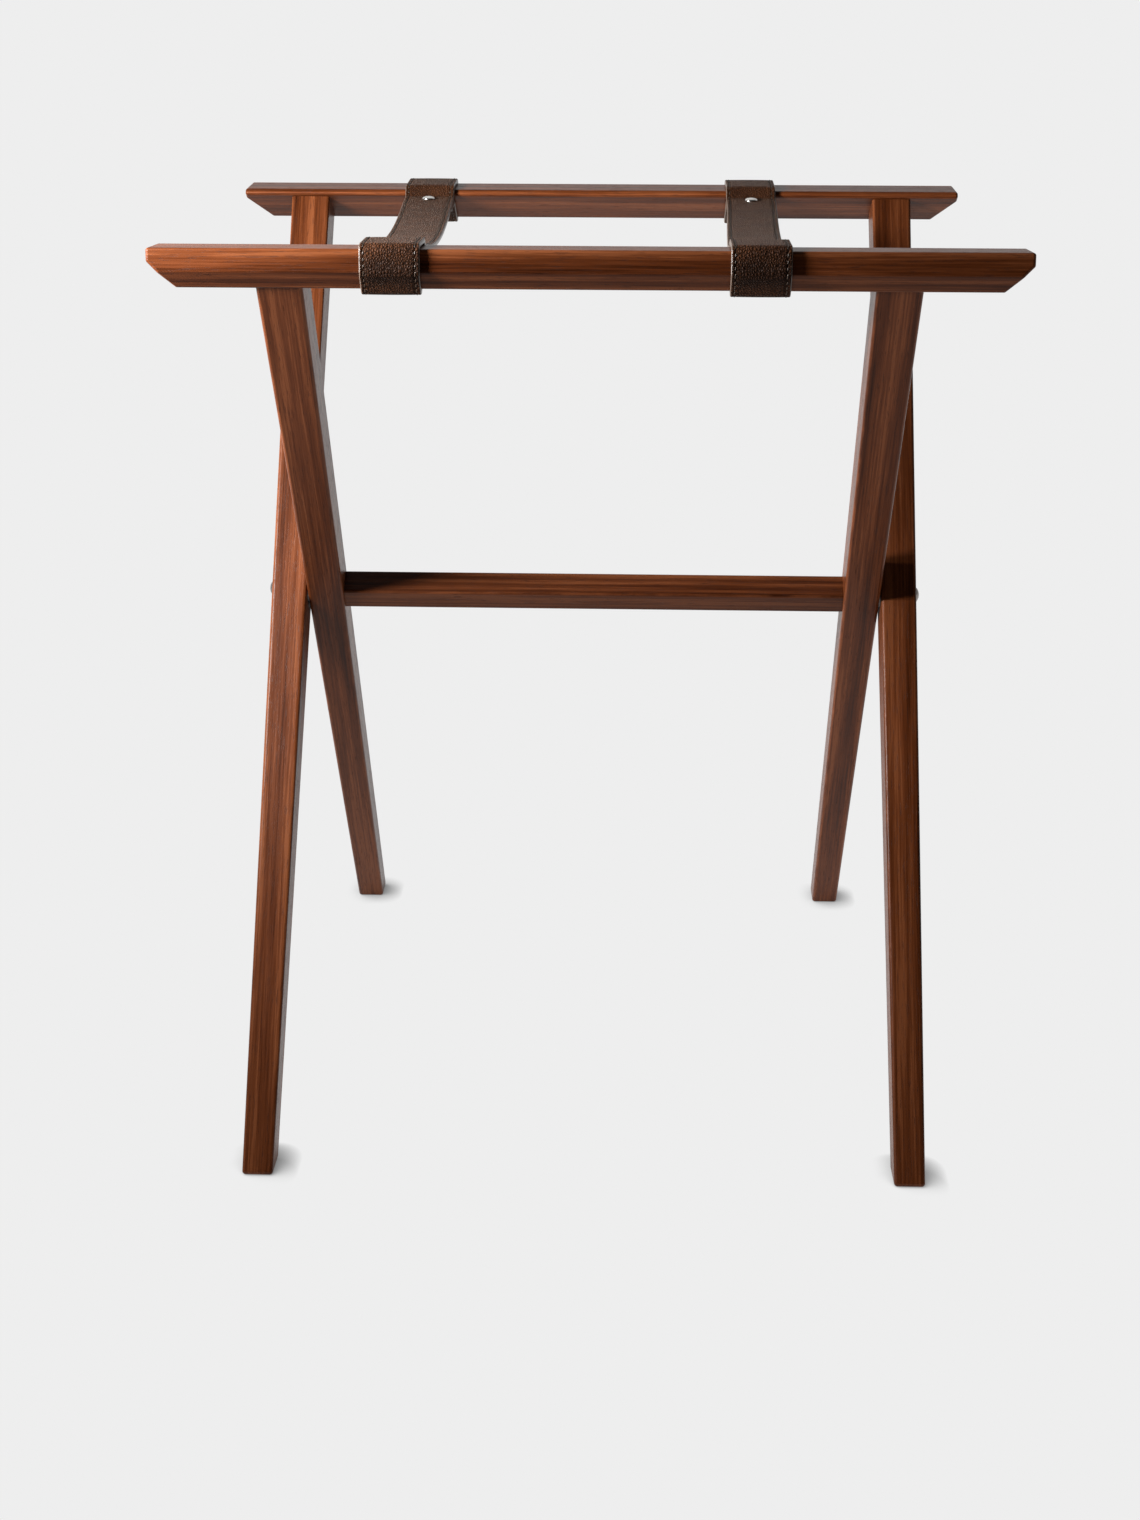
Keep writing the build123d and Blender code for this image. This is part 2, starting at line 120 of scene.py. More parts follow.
def mapping(tree, vector, location=(0, 0, 0), rotation=(0, 0, 0), scale=(1, 1, 1)):
    """Coordinates scaled, turned and then moved."""
    inputs = {"Vector": vector, "Location": location, "Rotation": rotation, "Scale": scale}
    return add(tree, "ShaderNodeMapping", inputs).outputs[0]


def remap(tree, value, low, high, to_low=0.0, to_high=1.0, smooth=True):
    """Value taken from one range to another and held there."""
    kind = "SMOOTHSTEP" if smooth else "LINEAR"
    inputs = {"Value": value, "From Min": low, "From Max": high, "To Min": to_low, "To Max": to_high}
    return add(tree, "ShaderNodeMapRange", inputs, interpolation_type=kind).outputs[0]


def ramp(tree, value, stops):
    """Colour ramp, with stops as (place, colour)."""
    made = add(tree, "ShaderNodeValToRGB", {"Fac": value})
    elements = made.color_ramp.elements
    while len(elements) < len(stops):
        elements.new(1.0)
    for element, (place, colour) in zip(elements, stops):
        element.position = place
        element.color = (*colour, 1.0)
    return made.outputs["Color"]


MIX_FACTOR, MIX_FIRST, MIX_SECOND = 0, 6, 7   # inputs of a Mix node that mixes colours
MIX_RESULT = 2


def mix_colour(tree, factor, first, second):
    """Colours mixed by a factor; plain colours are given as three numbers."""
    made = tree.nodes.new("ShaderNodeMix")
    made.data_type = "RGBA"
    inputs = {MIX_FACTOR: factor, MIX_FIRST: first, MIX_SECOND: second}
    for index, value in inputs.items():
        socket = made.inputs[index]
        if isinstance(value, bpy.types.NodeSocket):
            tree.links.new(value, socket)
        elif isinstance(value, tuple):
            socket.default_value = (*value, 1.0)
        else:
            socket.default_value = value
    return made.outputs[MIX_RESULT]


def new_material(name):
    """An empty node material and its Principled shader."""
    material = bpy.data.materials.new(name)
    material.use_nodes = True
    tree = material.node_tree
    tree.nodes.clear()
    shader = tree.nodes.new("ShaderNodeBsdfPrincipled")
    output = tree.nodes.new("ShaderNodeOutputMaterial")
    tree.links.new(shader.outputs[0], output.inputs["Surface"])
    return material, tree, shader


def bump(tree, height, strength, distance, below=None):
    """Bump from a height, on top of another bump if given."""
    inputs = {"Height": height, "Strength": strength, "Distance": distance}
    if below is not None:
        inputs["Normal"] = below
    return add(tree, "ShaderNodeBump", inputs).outputs[0]


# ---------------------------------------------------------------- walnut

WALNUT_DARK = (0.017, 0.0038, 0.0009)
WALNUT_BROWN = (0.050, 0.0122, 0.0032)
WALNUT_MID = (0.078, 0.0210, 0.0064)
WALNUT_LIGHT = (0.112, 0.0335, 0.0115)
WALNUT_STOPS = [(0.64, WALNUT_DARK), (0.81, WALNUT_BROWN), (0.94, WALNUT_MID), (1.0, WALNUT_LIGHT)]
WALNUT_SHINE = 0.08            # share of the usual reflection of a clear finish
RINGS_PART = 0.16              # the pattern is the sum of these parts
STREAKS_PART = 0.64
BROAD_PART = 0.30
FIBRES_PART = 0.66
PORE_SHADE = 0.55              # how far a pore goes towards the darkest colour
MOST_EDGE_WEAR_AND_HIGHLIGHT = 0.20               # how far a rubbed edge goes towards the lighter edge colour, which is wear and a painted highlight
EDGE_WEAR_AND_HIGHLIGHT_LIGHTNESS = 2.0           # of the lighter edge colour of wear and painted highlight, from the lightest colour
EDGE_STARTS = 0.995            # alignment with a face's normal below which an edge begins
EDGE_FULL = 0.90
ALONG_X = (1, 0, 0)


def grain_turn(grain):
    """Rotation that brings the grain direction onto X."""
    along = Vector(grain).normalized()
    side = Vector((1, 0, 0)) if abs(along.x) < 0.9 else Vector((0, 1, 0))
    across = (side - along * side.dot(along)).normalized()
    return Matrix((along, across, along.cross(across))).to_euler()


def edge_mask(tree, normal, faces):
    """1 on rounded edges and 0 on the faces, whose normals are given."""
    nearest = None
    for face in faces:
        facing = add(tree, "ShaderNodeVectorMath", {0: normal, 1: face}, operation="DOT_PRODUCT")
        share = math_node(tree, "ABSOLUTE", facing.outputs["Value"])
        nearest = share if nearest is None else math_node(tree, "MAXIMUM", nearest, share)
    return remap(tree, nearest, EDGE_FULL, EDGE_STARTS, to_low=1.0, to_high=0.0)


def walnut(name, grain, faces, place, tone_and_light):
    """Oiled walnut: growth rings, streaks, fibres and pores that run along the grain."""
    material, tree, shader = new_material(name)
    coords = tree.nodes.new("ShaderNodeTexCoord")
    board = mapping(tree, coords.outputs["Object"], place, grain_turn(grain))
    slow = mapping(tree, board, scale=(0.03, 1, 1))
    inputs = {"Vector": slow, "Scale": 52.0, "Distortion": 3.2, "Detail": 3.0}
    inputs.update({"Detail Scale": 0.7, "Detail Roughness": 0.6})
    wave = add(tree, "ShaderNodeTexWave", inputs, wave_type="RINGS", rings_direction="X")
    rings = wave.outputs["Fac"]
    streaks = noise(tree, slow, scale=120.0, detail=5.0, roughness=0.62, distortion=0.3)
    broad = noise(tree, mapping(tree, board, scale=(0.10, 1, 1)), scale=30.0)
    fine_grain = mapping(tree, board, scale=(0.016, 1, 1))
    fibres = noise(tree, fine_grain, scale=700.0, detail=4.0, roughness=0.7)
    pores = noise(tree, mapping(tree, board, scale=(0.05, 1, 1)), scale=1900.0, detail=1.0)

    pattern = math_node(tree, "MULTIPLY", rings, RINGS_PART)
    for texture, share in ((streaks, STREAKS_PART), (broad, BROAD_PART), (fibres, FIBRES_PART)):
        pattern = math_node(tree, "MULTIPLY_ADD", texture, share, pattern)
    # The part's brightness scales the colours: partly the wood's own tone, partly painted light and shade
    # for how brightly the part is lit.
    toned = [(spot, tuple(tone_and_light * part for part in colour)) for spot, colour in WALNUT_STOPS]
    body = ramp(tree, pattern, toned)
    open_pores = remap(tree, pores, 0.60, 0.72)
    pored = mix_colour(tree, math_node(tree, "MULTIPLY", open_pores, PORE_SHADE), body, WALNUT_DARK)

    # Rounded edges are lightened: partly rubbed wear, partly a painted highlight where light catches the
    # edges.
    edges = edge_mask(tree, coords.outputs["Normal"], faces)
    rub_and_highlight = remap(tree, noise(tree, board, scale=45.0, detail=4.0), 0.35, 0.65, to_high=MOST_EDGE_WEAR_AND_HIGHLIGHT)
    edge_wear_and_highlight = math_node(tree, "MULTIPLY", edges, rub_and_highlight)
    colour = mix_colour(tree, edge_wear_and_highlight, pored, tuple(EDGE_WEAR_AND_HIGHLIGHT_LIGHTNESS * tone_and_light * part for part in WALNUT_LIGHT))
    tree.links.new(colour, shader.inputs["Base Color"])

    satin = remap(tree, fibres, 0.25, 0.75, to_low=0.27, to_high=0.42, smooth=False)
    tree.links.new(math_node(tree, "MULTIPLY_ADD", open_pores, 0.25, satin), shader.inputs["Roughness"])
    shader.inputs["Specular IOR Level"].default_value = WALNUT_SHINE
    relief = bump(tree, fibres, strength=0.25, distance=0.00008)
    sunk = math_node(tree, "SUBTRACT", 1.0, open_pores)
    pitted = bump(tree, sunk, strength=0.5, distance=0.00012, below=relief)
    tree.links.new(pitted, shader.inputs["Normal"])
    return material


def section_normals(end):
    """Normals of a rail's faces; end is -1 for the front rail and 1 for the back rail."""
    corners = [frame_point(height, offset) for offset, height in RAIL_SECTION]
    normals = []
    for start, stop in zip(corners, corners[1:] + corners[:1]):
        run = Vector((stop[0] - start[0], stop[1] - start[1])).normalized()
        normals.append((0.0, -end * run.y, -run.x))
    return normals


def rail_end_normals():
    """Normals of the sloped ends of a rail."""
    slope = Vector((1.0, 0.0, -RAIL_END_SLOPE)).normalized()
    return [tuple(slope), (-slope.x, 0.0, slope.z), (1.0, 0.0, 0.0)]


def leg_grain(which, side):
    """Direction up a leg."""
    lean = (0.0, -which * math.sin(LEAN), math.cos(LEAN))
    return Vector((-side * LEG_SPLAY[which], lean[1], lean[2])).normalized()


def leg_faces(which):
    """Normals of a leg's four sides."""
    return [(1.0, 0.0, 0.0), (0.0, -which * math.cos(LEAN), -math.sin(LEAN)), (0.0, 0.0, 1.0)]


# ---------------------------------------------------------------- metal and beech

TARNISH_SHADE = 0.55           # share of the metal's own colour that is left in tarnish
MARKS_ROUGHNESS = 0.16         # added where the turning marks stand highest
BEECH_BROWN = (0.50, 0.30, 0.16)
BEECH_PALE = (0.62, 0.41, 0.24)
BEECH_FLECK = (0.30, 0.15, 0.07)


def metal(name, colour, roughness, brushed):
    """Turned metal with fine marks and a little tarnish."""
    material, tree, shader = new_material(name)
    coords = tree.nodes.new("ShaderNodeTexCoord").outputs["Object"]
    marks = noise(tree, mapping(tree, coords, scale=(1, 0.15, 1)), scale=brushed)
    tarnish = remap(tree, noise(tree, coords, scale=260.0, detail=4.0), 0.45, 0.75, to_high=0.7)
    shade = mix_colour(tree, tarnish, colour, tuple(TARNISH_SHADE * part for part in colour))
    tree.links.new(shade, shader.inputs["Base Color"])
    duller = roughness + MARKS_ROUGHNESS
    rough = remap(tree, marks, 0.3, 0.7, to_low=roughness, to_high=duller, smooth=False)
    tree.links.new(rough, shader.inputs["Roughness"])
    tree.links.new(bump(tree, marks, strength=0.15, distance=0.00003), shader.inputs["Normal"])
    shader.inputs["Metallic"].default_value = 1.0
    return material


def beech():
    """Pale dowel wood with short flecks."""
    material, tree, shader = new_material("beech_dowel")
    coords = tree.nodes.new("ShaderNodeTexCoord").outputs["Object"]
    flecks = noise(tree, mapping(tree, coords, scale=(1, 0.12, 0.12)), scale=900.0, detail=2.0)
    body = ramp(tree, noise(tree, coords, scale=60.0), [(0.3, BEECH_BROWN), (0.7, BEECH_PALE)])
    flecked = mix_colour(tree, remap(tree, flecks, 0.55, 0.7, to_high=0.6), body, BEECH_FLECK)
    tree.links.new(flecked, shader.inputs["Base Color"])
    shader.inputs["Roughness"].default_value = 0.62
    tree.links.new(bump(tree, flecks, strength=0.3, distance=0.0001), shader.inputs["Normal"])
    return material


# ---------------------------------------------------------------- leather

# The deepest leather colour is painted shade, for the creases and the loops' outward faces.
LEATHER_PAINTED_SHADE = (0.0032, 0.0012, 0.0005)
LEATHER_BROWN = (0.028, 0.0098, 0.0036)
LEATHER_HIGH = (0.047, 0.0172, 0.0068)
LEATHER_SHINE = 0.04           # share of the usual reflection
# Both loops' outward faces are darkened with painted shade, for how light falls on them. The painted shade
# band is at a fixed place in the frame, so it doesn't follow the back loops when the rack folds.
FACE_HEIGHT = 0.5935           # of the middle of the outward faces
FACE_CORE = 0.004              # fully darkened up to this far above and below
FACE_FADE = 0.011              # and not at all from here
FACE_INSIDE = 0.165            # distance from the middle, to front and back, at which the band begins
FACE_OUTSIDE = 0.185           # and at which it is full
FACE_SHADE = 0.55              # how far the painted shade band goes towards the deepest colour
LEATHER_EDGE_DARK = (0.045, 0.028, 0.019)
LEATHER_EDGE_LIGHT = (0.085, 0.060, 0.045)
FLESH_DARK = (0.03, 0.016, 0.010)
FLESH_BROWN = (0.055, 0.030, 0.018)
FLESH_LIGHT = (0.105, 0.062, 0.040)
THREAD_COLOUR = (0.036, 0.020, 0.011)
THREAD_SHADE = 0.45            # painted shade between the strands of the thread


def leather_grain():
    """Pebbled outer side of the strap."""
    material, tree, shader = new_material("strap_grain_side")
    lengths = tree.nodes.new("ShaderNodeTexCoord").outputs["UV"]
    drift = noise(tree, lengths, scale=500.0, detail=2.0)
    bent = add(tree, "ShaderNodeVectorMath", {0: drift, "Scale": 0.0012}, operation="SCALE").outputs[0]
    place = add(tree, "ShaderNodeVectorMath", {0: lengths, 1: bent}, operation="ADD").outputs[0]
    inputs = {"Vector": place, "Scale": 640.0, "Randomness": 0.9}
    cells = add(tree, "ShaderNodeTexVoronoi", inputs, feature="DISTANCE_TO_EDGE").outputs["Distance"]
    domes = remap(tree, cells, 0.0, 0.45)
    # Painted shade in the creases between the pebbles.
    crease_painted_shade = remap(tree, cells, 0.0, 0.17, to_low=0.10, to_high=1.0)
    wrinkles = noise(tree, place, scale=2600.0)
    clouds = remap(tree, noise(tree, lengths, scale=55.0, detail=4.0), 0.35, 0.7)
    body = mix_colour(tree, clouds, LEATHER_BROWN, LEATHER_HIGH)

    # Painted shade on the outward faces of the loops, by height and distance from the middle.
    object_place = tree.nodes.new("ShaderNodeTexCoord").outputs["Object"]
    parts = add(tree, "ShaderNodeSeparateXYZ", {0: object_place}).outputs
    from_face = math_node(tree, "ABSOLUTE", math_node(tree, "SUBTRACT", parts["Z"], FACE_HEIGHT))
    from_middle = math_node(tree, "ABSOLUTE", parts["Y"])
    near_height = remap(tree, from_face, FACE_CORE, FACE_FADE, to_low=1.0, to_high=0.0)
    near_ends = remap(tree, from_middle, FACE_INSIDE, FACE_OUTSIDE)
    face_painted_shade = math_node(tree, "MULTIPLY", near_height, near_ends)
    shaded = mix_colour(tree, math_node(tree, "MULTIPLY", face_painted_shade, FACE_SHADE), body, LEATHER_PAINTED_SHADE)
    crease_shaded = mix_colour(tree, crease_painted_shade, LEATHER_PAINTED_SHADE, shaded)
    tree.links.new(crease_shaded, shader.inputs["Base Color"])

    rough = remap(tree, domes, 0.0, 1.0, to_low=0.60, to_high=0.34, smooth=False)
    tree.links.new(math_node(tree, "MULTIPLY_ADD", wrinkles, 0.10, rough), shader.inputs["Roughness"])
    fine = bump(tree, wrinkles, strength=0.25, distance=0.00006)
    pebbled = bump(tree, domes, strength=1.0, distance=0.00045, below=fine)
    tree.links.new(pebbled, shader.inputs["Normal"])
    shader.inputs["Specular IOR Level"].default_value = LEATHER_SHINE
    shader.inputs["Sheen Weight"].default_value = 0.04
    shader.inputs["Sheen Roughness"].default_value = 0.30
    shader.inputs["Sheen Tint"].default_value = (1.0, 0.74, 0.60, 1.0)
    return material


def leather_edge():
    """Burnished and painted cut edge."""
    material, tree, shader = new_material("strap_cut_edge")
    lengths = tree.nodes.new("ShaderNodeTexCoord").outputs["UV"]
    layers = noise(tree, mapping(tree, lengths, scale=(0.2, 1, 1)), scale=1500.0)
    colour = ramp(tree, layers, [(0.3, LEATHER_EDGE_DARK), (0.7, LEATHER_EDGE_LIGHT)])
    tree.links.new(colour, shader.inputs["Base Color"])
    rough = remap(tree, layers, 0.3, 0.7, to_low=0.30, to_high=0.46, smooth=False)
    tree.links.new(rough, shader.inputs["Roughness"])
    tree.links.new(bump(tree, layers, strength=0.3, distance=0.0001), shader.inputs["Normal"])
    return material


def leather_flesh():
    """Napped inner side of the strap."""
    material, tree, shader = new_material("strap_flesh_side")
    lengths = tree.nodes.new("ShaderNodeTexCoord").outputs["UV"]
    nap = noise(tree, lengths, scale=1800.0, detail=5.0, roughness=0.7, distortion=1.2)
    clouds = noise(tree, lengths, scale=70.0, detail=4.0)
    body = mix_colour(tree, clouds, FLESH_BROWN, FLESH_LIGHT)
    colour = mix_colour(tree, remap(tree, nap, 0.3, 0.7, to_low=0.5, to_high=0.0), body, FLESH_DARK)
    tree.links.new(colour, shader.inputs["Base Color"])
    shader.inputs["Roughness"].default_value = 0.88
    shader.inputs["Sheen Weight"].default_value = 0.12
    shader.inputs["Sheen Roughness"].default_value = 0.5
    tree.links.new(bump(tree, nap, strength=0.6, distance=0.00025), shader.inputs["Normal"])
    return material


def waxed_thread():
    """Twisted thread with a waxy shine."""
    material, tree, shader = new_material("strap_thread")
    lengths = tree.nodes.new("ShaderNodeTexCoord").outputs["UV"]
    inputs = {"Vector": lengths, "Scale": 420.0, "Distortion": 0.6}
    twist = add(tree, "ShaderNodeTexWave", inputs, bands_direction="DIAGONAL").outputs["Fac"]
    strand_shade_colour = tuple(THREAD_SHADE * part for part in THREAD_COLOUR)
    tree.links.new(mix_colour(tree, twist, strand_shade_colour, THREAD_COLOUR), shader.inputs["Base Color"])
    shader.inputs["Roughness"].default_value = 0.38
    shader.inputs["Specular IOR Level"].default_value = 0.25
    tree.links.new(bump(tree, twist, strength=0.6, distance=0.0001), shader.inputs["Normal"])
    return material


# ---------------------------------------------------------------- strap route


def crossing(point_a, angle_a, point_b, angle_b):
    """Point where two lines in a plane cross, each given by a point and an angle."""
    ax, ay = point_a
    bx, by = point_b
    cross = math.cos(angle_a) * math.sin(angle_b) - math.sin(angle_a) * math.cos(angle_b)
    reach = ((bx - ax) * math.sin(angle_b) - (by - ay) * math.cos(angle_b)) / cross
    return (ax + reach * math.cos(angle_a), ay + reach * math.sin(angle_a))


def shifted(point, angle, distance):
    """Point moved to the left of a direction by a distance."""
    return (point[0] - distance * math.sin(angle), point[1] + distance * math.cos(angle))


def moved(point, angle, distance):
    """Point moved along a direction."""
    return (point[0] + distance * math.cos(angle), point[1] + distance * math.sin(angle))


def heading(start, stop):
    """Angle of the line from start to stop."""
    return math.atan2(stop[1] - start[1], stop[0] - start[0])


LAYER = STRAP_GAP + STRAP_THICKNESS / 2      # from the rail's face to the middle of the leather
LAYER_STEP = STRAP_THICKNESS + LAYER_GAP     # between the middles of the doubled part's layers
DOUBLED_HALF = STRAP_THICKNESS + LAYER_GAP / 2
WRAP_RADIUS = RAIL_EDGE + LAYER
LOOP_RADII = [RETURN_RADIUS, WRAP_RADIUS, WRAP_RADIUS, WRAP_RADIUS, WRAP_RADIUS, TAIL_RADIUS]
ARC_STEP_SHARE = 0.4           # arcs have closer points than straight runs
FEWEST_ARC_STEPS = 4


def leather_line(start, stop):
    """Middle line of leather that lies on a rail's face, as a point and an angle."""
    angle = heading(start, stop)
    return shifted(start, angle, LAYER), angle


def loop_corners(end_name):
    """Middle of the leather in (Y, Z), from its folded-back end round the front rail to its tail."""
    under, bottom, shoulder, top, inner = [frame_point(h, v) for v, h in RAIL_SECTION]
    inward = -STRAP_SLOPES[end_name]
    crest = (inner[0], inner[1] + STRAP_LIFTS[end_name])
    middle = (under[0], under[1] - STRAP_DROPS[end_name])
    upper = (shifted(middle, inward, LAYER_STEP / 2), inward)
    lower = (shifted(middle, inward, -LAYER_STEP / 2), inward)
    inside = leather_line(inner, under)
    over = leather_line(top, crest)
    face = leather_line(shoulder, top)
    low_face = leather_line(bottom, shoulder)
    below = leather_line(under, bottom)
    tail_start = crossing(*upper, *inside)
    tail_end = moved(tail_start, inward, STRAP_TAIL)
    return [
        shifted(tail_end, inward, -LAYER_STEP),
        crossing(*below, *lower),
        crossing(*low_face, *below),
        crossing(*face, *low_face),
        crossing(*over, *face),
        crossing(*inside, *over),
        tail_start,
        tail_end,
    ]


def rounded_route(corners, radii, step):
    """Points along straight runs joined by tangent arcs, no further apart than step."""
    route = [Vector(corners[0])]
    for before, corner, after, radius in zip(corners, corners[1:], corners[2:], radii):
        corner = Vector(corner)
        arriving = (corner - Vector(before)).normalized()
        leaving = (Vector(after) - corner).normalized()
        turn = arriving.angle_signed(leaving)
        set_back = radius * math.tan(abs(turn) / 2)
        start = corner - arriving * set_back
        side = 1 if turn < 0 else -1
        centre = start + side * radius * Vector((-arriving.y, arriving.x))
        route += straight_run(route[-1], start, step)
        steps = max(FEWEST_ARC_STEPS, round(abs(turn) * radius / (ARC_STEP_SHARE * step)))
        for index in range(1, steps + 1):
            angle = side * abs(turn) * index / steps
            route.append(centre + Matrix.Rotation(angle, 2) @ (start - centre))
    return route + straight_run(route[-1], Vector(corners[-1]), step)


def straight_run(start, stop, step):
    """Evenly spaced points after start, up to stop."""
    count = max(1, math.ceil((stop - start).length / step))
    return [start.lerp(stop, index / count) for index in range(1, count + 1)]


def span_arc(start, stop, step):
    """Points along the shallow arc of the hanging span, between its two ends."""
    turn = sum(STRAP_SLOPES.values()) / 2
    half = (stop - start).length / 2
    radius = half / math.sin(turn)
    along = (stop - start).normalized()
    up = Vector((-along.y, along.x))
    centre = start.lerp(stop, 0.5) + up * radius * math.cos(turn)
    steps = math.ceil(2 * half / step)
    points = []
    for index in range(steps + 1):
        angle = turn * (2 * index / steps - 1)
        points.append(centre + radius * (along * math.sin(angle) - up * math.cos(angle)))
    return points


def strap_route(step):
    """The whole strap's middle line in (Y, Z), from one folded-back end to the other."""
    halves = {}
    for end_name in ENDS:
        half = rounded_route(loop_corners(end_name), LOOP_RADII, step)
        slope = STRAP_SLOPES[end_name]
        span_end = half[-1] + SPAN_GAP * Vector((math.cos(slope), -math.sin(slope)))
        halves[end_name] = (half, span_end)
    back = [Vector((-point.x, point.y)) for point in halves["back"][0]]
    back_end = Vector((-halves["back"][1].x, halves["back"][1].y))
    return halves["front"][0] + span_arc(halves["front"][1], back_end, step) + back[::-1]


class Route:
    """A strap's line with lengths, so that points can be read at any distance along it."""

    def __init__(self, points, front_x, back_x):
        self.points = points
        self.front_x = front_x
        self.back_x = back_x
        self.front_y = loop_corners("front")[-1][0]
        self.back_y = -loop_corners("back")[-1][0]
        self.lengths = [0.0]
        for start, stop in zip(points, points[1:]):
            self.lengths.append(self.lengths[-1] + (stop - start).length)

    def x_at(self, y):
        """X of the strap's middle: straight through each rail, drifting between the tails."""
        share = min(1.0, max(0.0, (y - self.front_y) / (self.back_y - self.front_y)))
        return self.front_x + (self.back_x - self.front_x) * share

    def place(self, index):
        """Point and outward direction at a point of the route."""
        before = self.points[max(0, index - 1)]
        after = self.points[min(len(self.points) - 1, index + 1)]
        run = (after - before).normalized()
        point = self.points[index]
        return Vector((self.x_at(point.x), point.x, point.y)), Vector((0.0, -run.y, run.x))

    def at(self, length):
        """Point and outward direction at a length along the strap."""
        low, high = 0, len(self.lengths) - 1
        while high - low > 1:
            middle = (low + high) // 2
            if self.lengths[middle] <= length:
                low = middle
            else:
                high = middle
        share = (length - self.lengths[low]) / (self.lengths[high] - self.lengths[low])
        first, first_up = self.place(low)
        second, second_up = self.place(high)
        return first.lerp(second, share), first_up.lerp(second_up, share).normalized()


# ---------------------------------------------------------------- strap mesh

EDGE_ROUND = 0.0009            # rounding of the leather's long edges
GROOVE_PLACE = 0.0027          # stitch groove, from the strap's edge
GROOVE_HALF = 0.0007
GROOVE_DEPTH = 0.0003
CROWN = 0.00012                # swelling of the leather between its grooves
CROWN_SHARES = (0.0, 0.3, 0.6, 0.85)         # points of the crown, from the middle to the groove
GROOVE_SHAPE = ((-1.0, 0.0), (-0.5, 0.7), (0.0, 1.0), (0.5, 0.7), (1.0, 0.0))   # across and deep
EDGE_DEGREES = range(88, -1, -22)            # points of the rounded edge
CUT_EDGE_SHARE = 0.45          # of the rounding, that has the cut edge's finish
END_INSET = 0.0005             # narrowing of the section at the strap's two ends
GRAIN_SIDE, CUT_EDGE, FLESH_SIDE = range(3)


def strap_outline():
    """Quarter of the strap's section as (across, up), from its middle to its edge."""
    half_width = STRAP_WIDTH / 2
    half_height = STRAP_THICKNESS / 2
    groove = half_width - GROOVE_PLACE
    quarter = [(share * groove, half_height + CROWN * (1 - share**2)) for share in CROWN_SHARES]
    for share, depth in GROOVE_SHAPE:
        quarter.append((groove + share * GROOVE_HALF, half_height - depth * GROOVE_DEPTH))
    for degrees in EDGE_DEGREES:
        angle = math.radians(degrees)
        across = half_width - EDGE_ROUND + EDGE_ROUND * math.cos(angle)
        quarter.append((across, half_height - EDGE_ROUND + EDGE_ROUND * math.sin(angle)))
    return quarter


def full_outline():
    """The whole section, anticlockwise from the middle of the flesh side, as (across, up)."""
    quarter = strap_outline()
    right_low = [(across, -up) for across, up in quarter]
    right_high = list(reversed(quarter))
    left_high = [(-across, up) for across, up in quarter[1:]]
    left_low = [(-across, -up) for across, up in reversed(quarter[1:])]
    return right_low + right_high + left_high + left_low


def section_material(first, second):
    """Which side of the leather a strip of the section belongs to."""
    across = (first[0] + second[0]) / 2
    up = (first[1] + second[1]) / 2
    if abs(across) > STRAP_WIDTH / 2 - CUT_EDGE_SHARE * EDGE_ROUND:
        return CUT_EDGE
    return GRAIN_SIDE if up > 0 else FLESH_SIDE


def make_object(name, bm, materials):
    """Object from a bmesh, smooth shaded, in the scene."""
    mesh = bpy.data.meshes.new(name)
    bmesh.ops.recalc_face_normals(bm, faces=bm.faces)
    bm.to_mesh(mesh)
    bm.free()
    for polygon in mesh.polygons:
        polygon.use_smooth = True
    for material in materials:
        mesh.materials.append(material)
    made = bpy.data.objects.new(name, mesh)
    bpy.context.scene.collection.objects.link(made)
    return made


def make_strap(name, route, materials):
    """The leather itself: its section swept along its route, with softened ends."""
    outline = full_outline()
    bm = bmesh.new()
    lengths = bm.loops.layers.uv.new("leather")
    rows = []
    for index in range(len(route.points)):
        point, up = route.place(index)
        at_end = index in (0, len(route.points) - 1)
        inset = END_INSET if at_end else 0.0
        row = []
        for across, high in outline:
            across -= math.copysign(min(inset, abs(across)), across)
            high -= math.copysign(min(inset, abs(high)), high)
            row.append(bm.verts.new(point + Vector((across, 0, 0)) + up * high))
        rows.append(row)
    count = len(outline)
    for index, (row, following) in enumerate(zip(rows, rows[1:])):
        starts = (route.lengths[index], route.lengths[index + 1])
        around = 0.0
        for side in range(count):
            other = (side + 1) % count
            width = math.dist(outline[side], outline[other])
            face = bm.faces.new((row[side], row[other], following[other], following[side]))
            face.material_index = section_material(outline[side], outline[other])
            places = ((0, 0.0), (0, width), (1, width), (1, 0.0))
            for loop, (end, beside) in zip(face.loops, places):
                loop[lengths].uv = (starts[end], around + beside)
            around += width
    for row in (rows[0], rows[-1]):
        cap = bm.faces.new(row)
        cap.material_index = CUT_EDGE
    return make_object(name, bm, materials)


STITCH_PITCH = 0.0040
STITCH_LENGTH = 0.0031
STITCH_SLANT = 0.0007
THREAD_RADIUS = 0.00036
STITCH_SECTIONS = 7
STITCH_SIDES = 8
GRAIN_THREAD_RISE = -0.00006   # top of the arch of a stitch's middle line, from the leather's face
FLESH_THREAD_RISE = -0.00030
THREAD_DIVE = 0.0007           # of a stitch's ends into the leather
THREAD_TAPER = 0.35            # how much thinner a stitch is at its ends


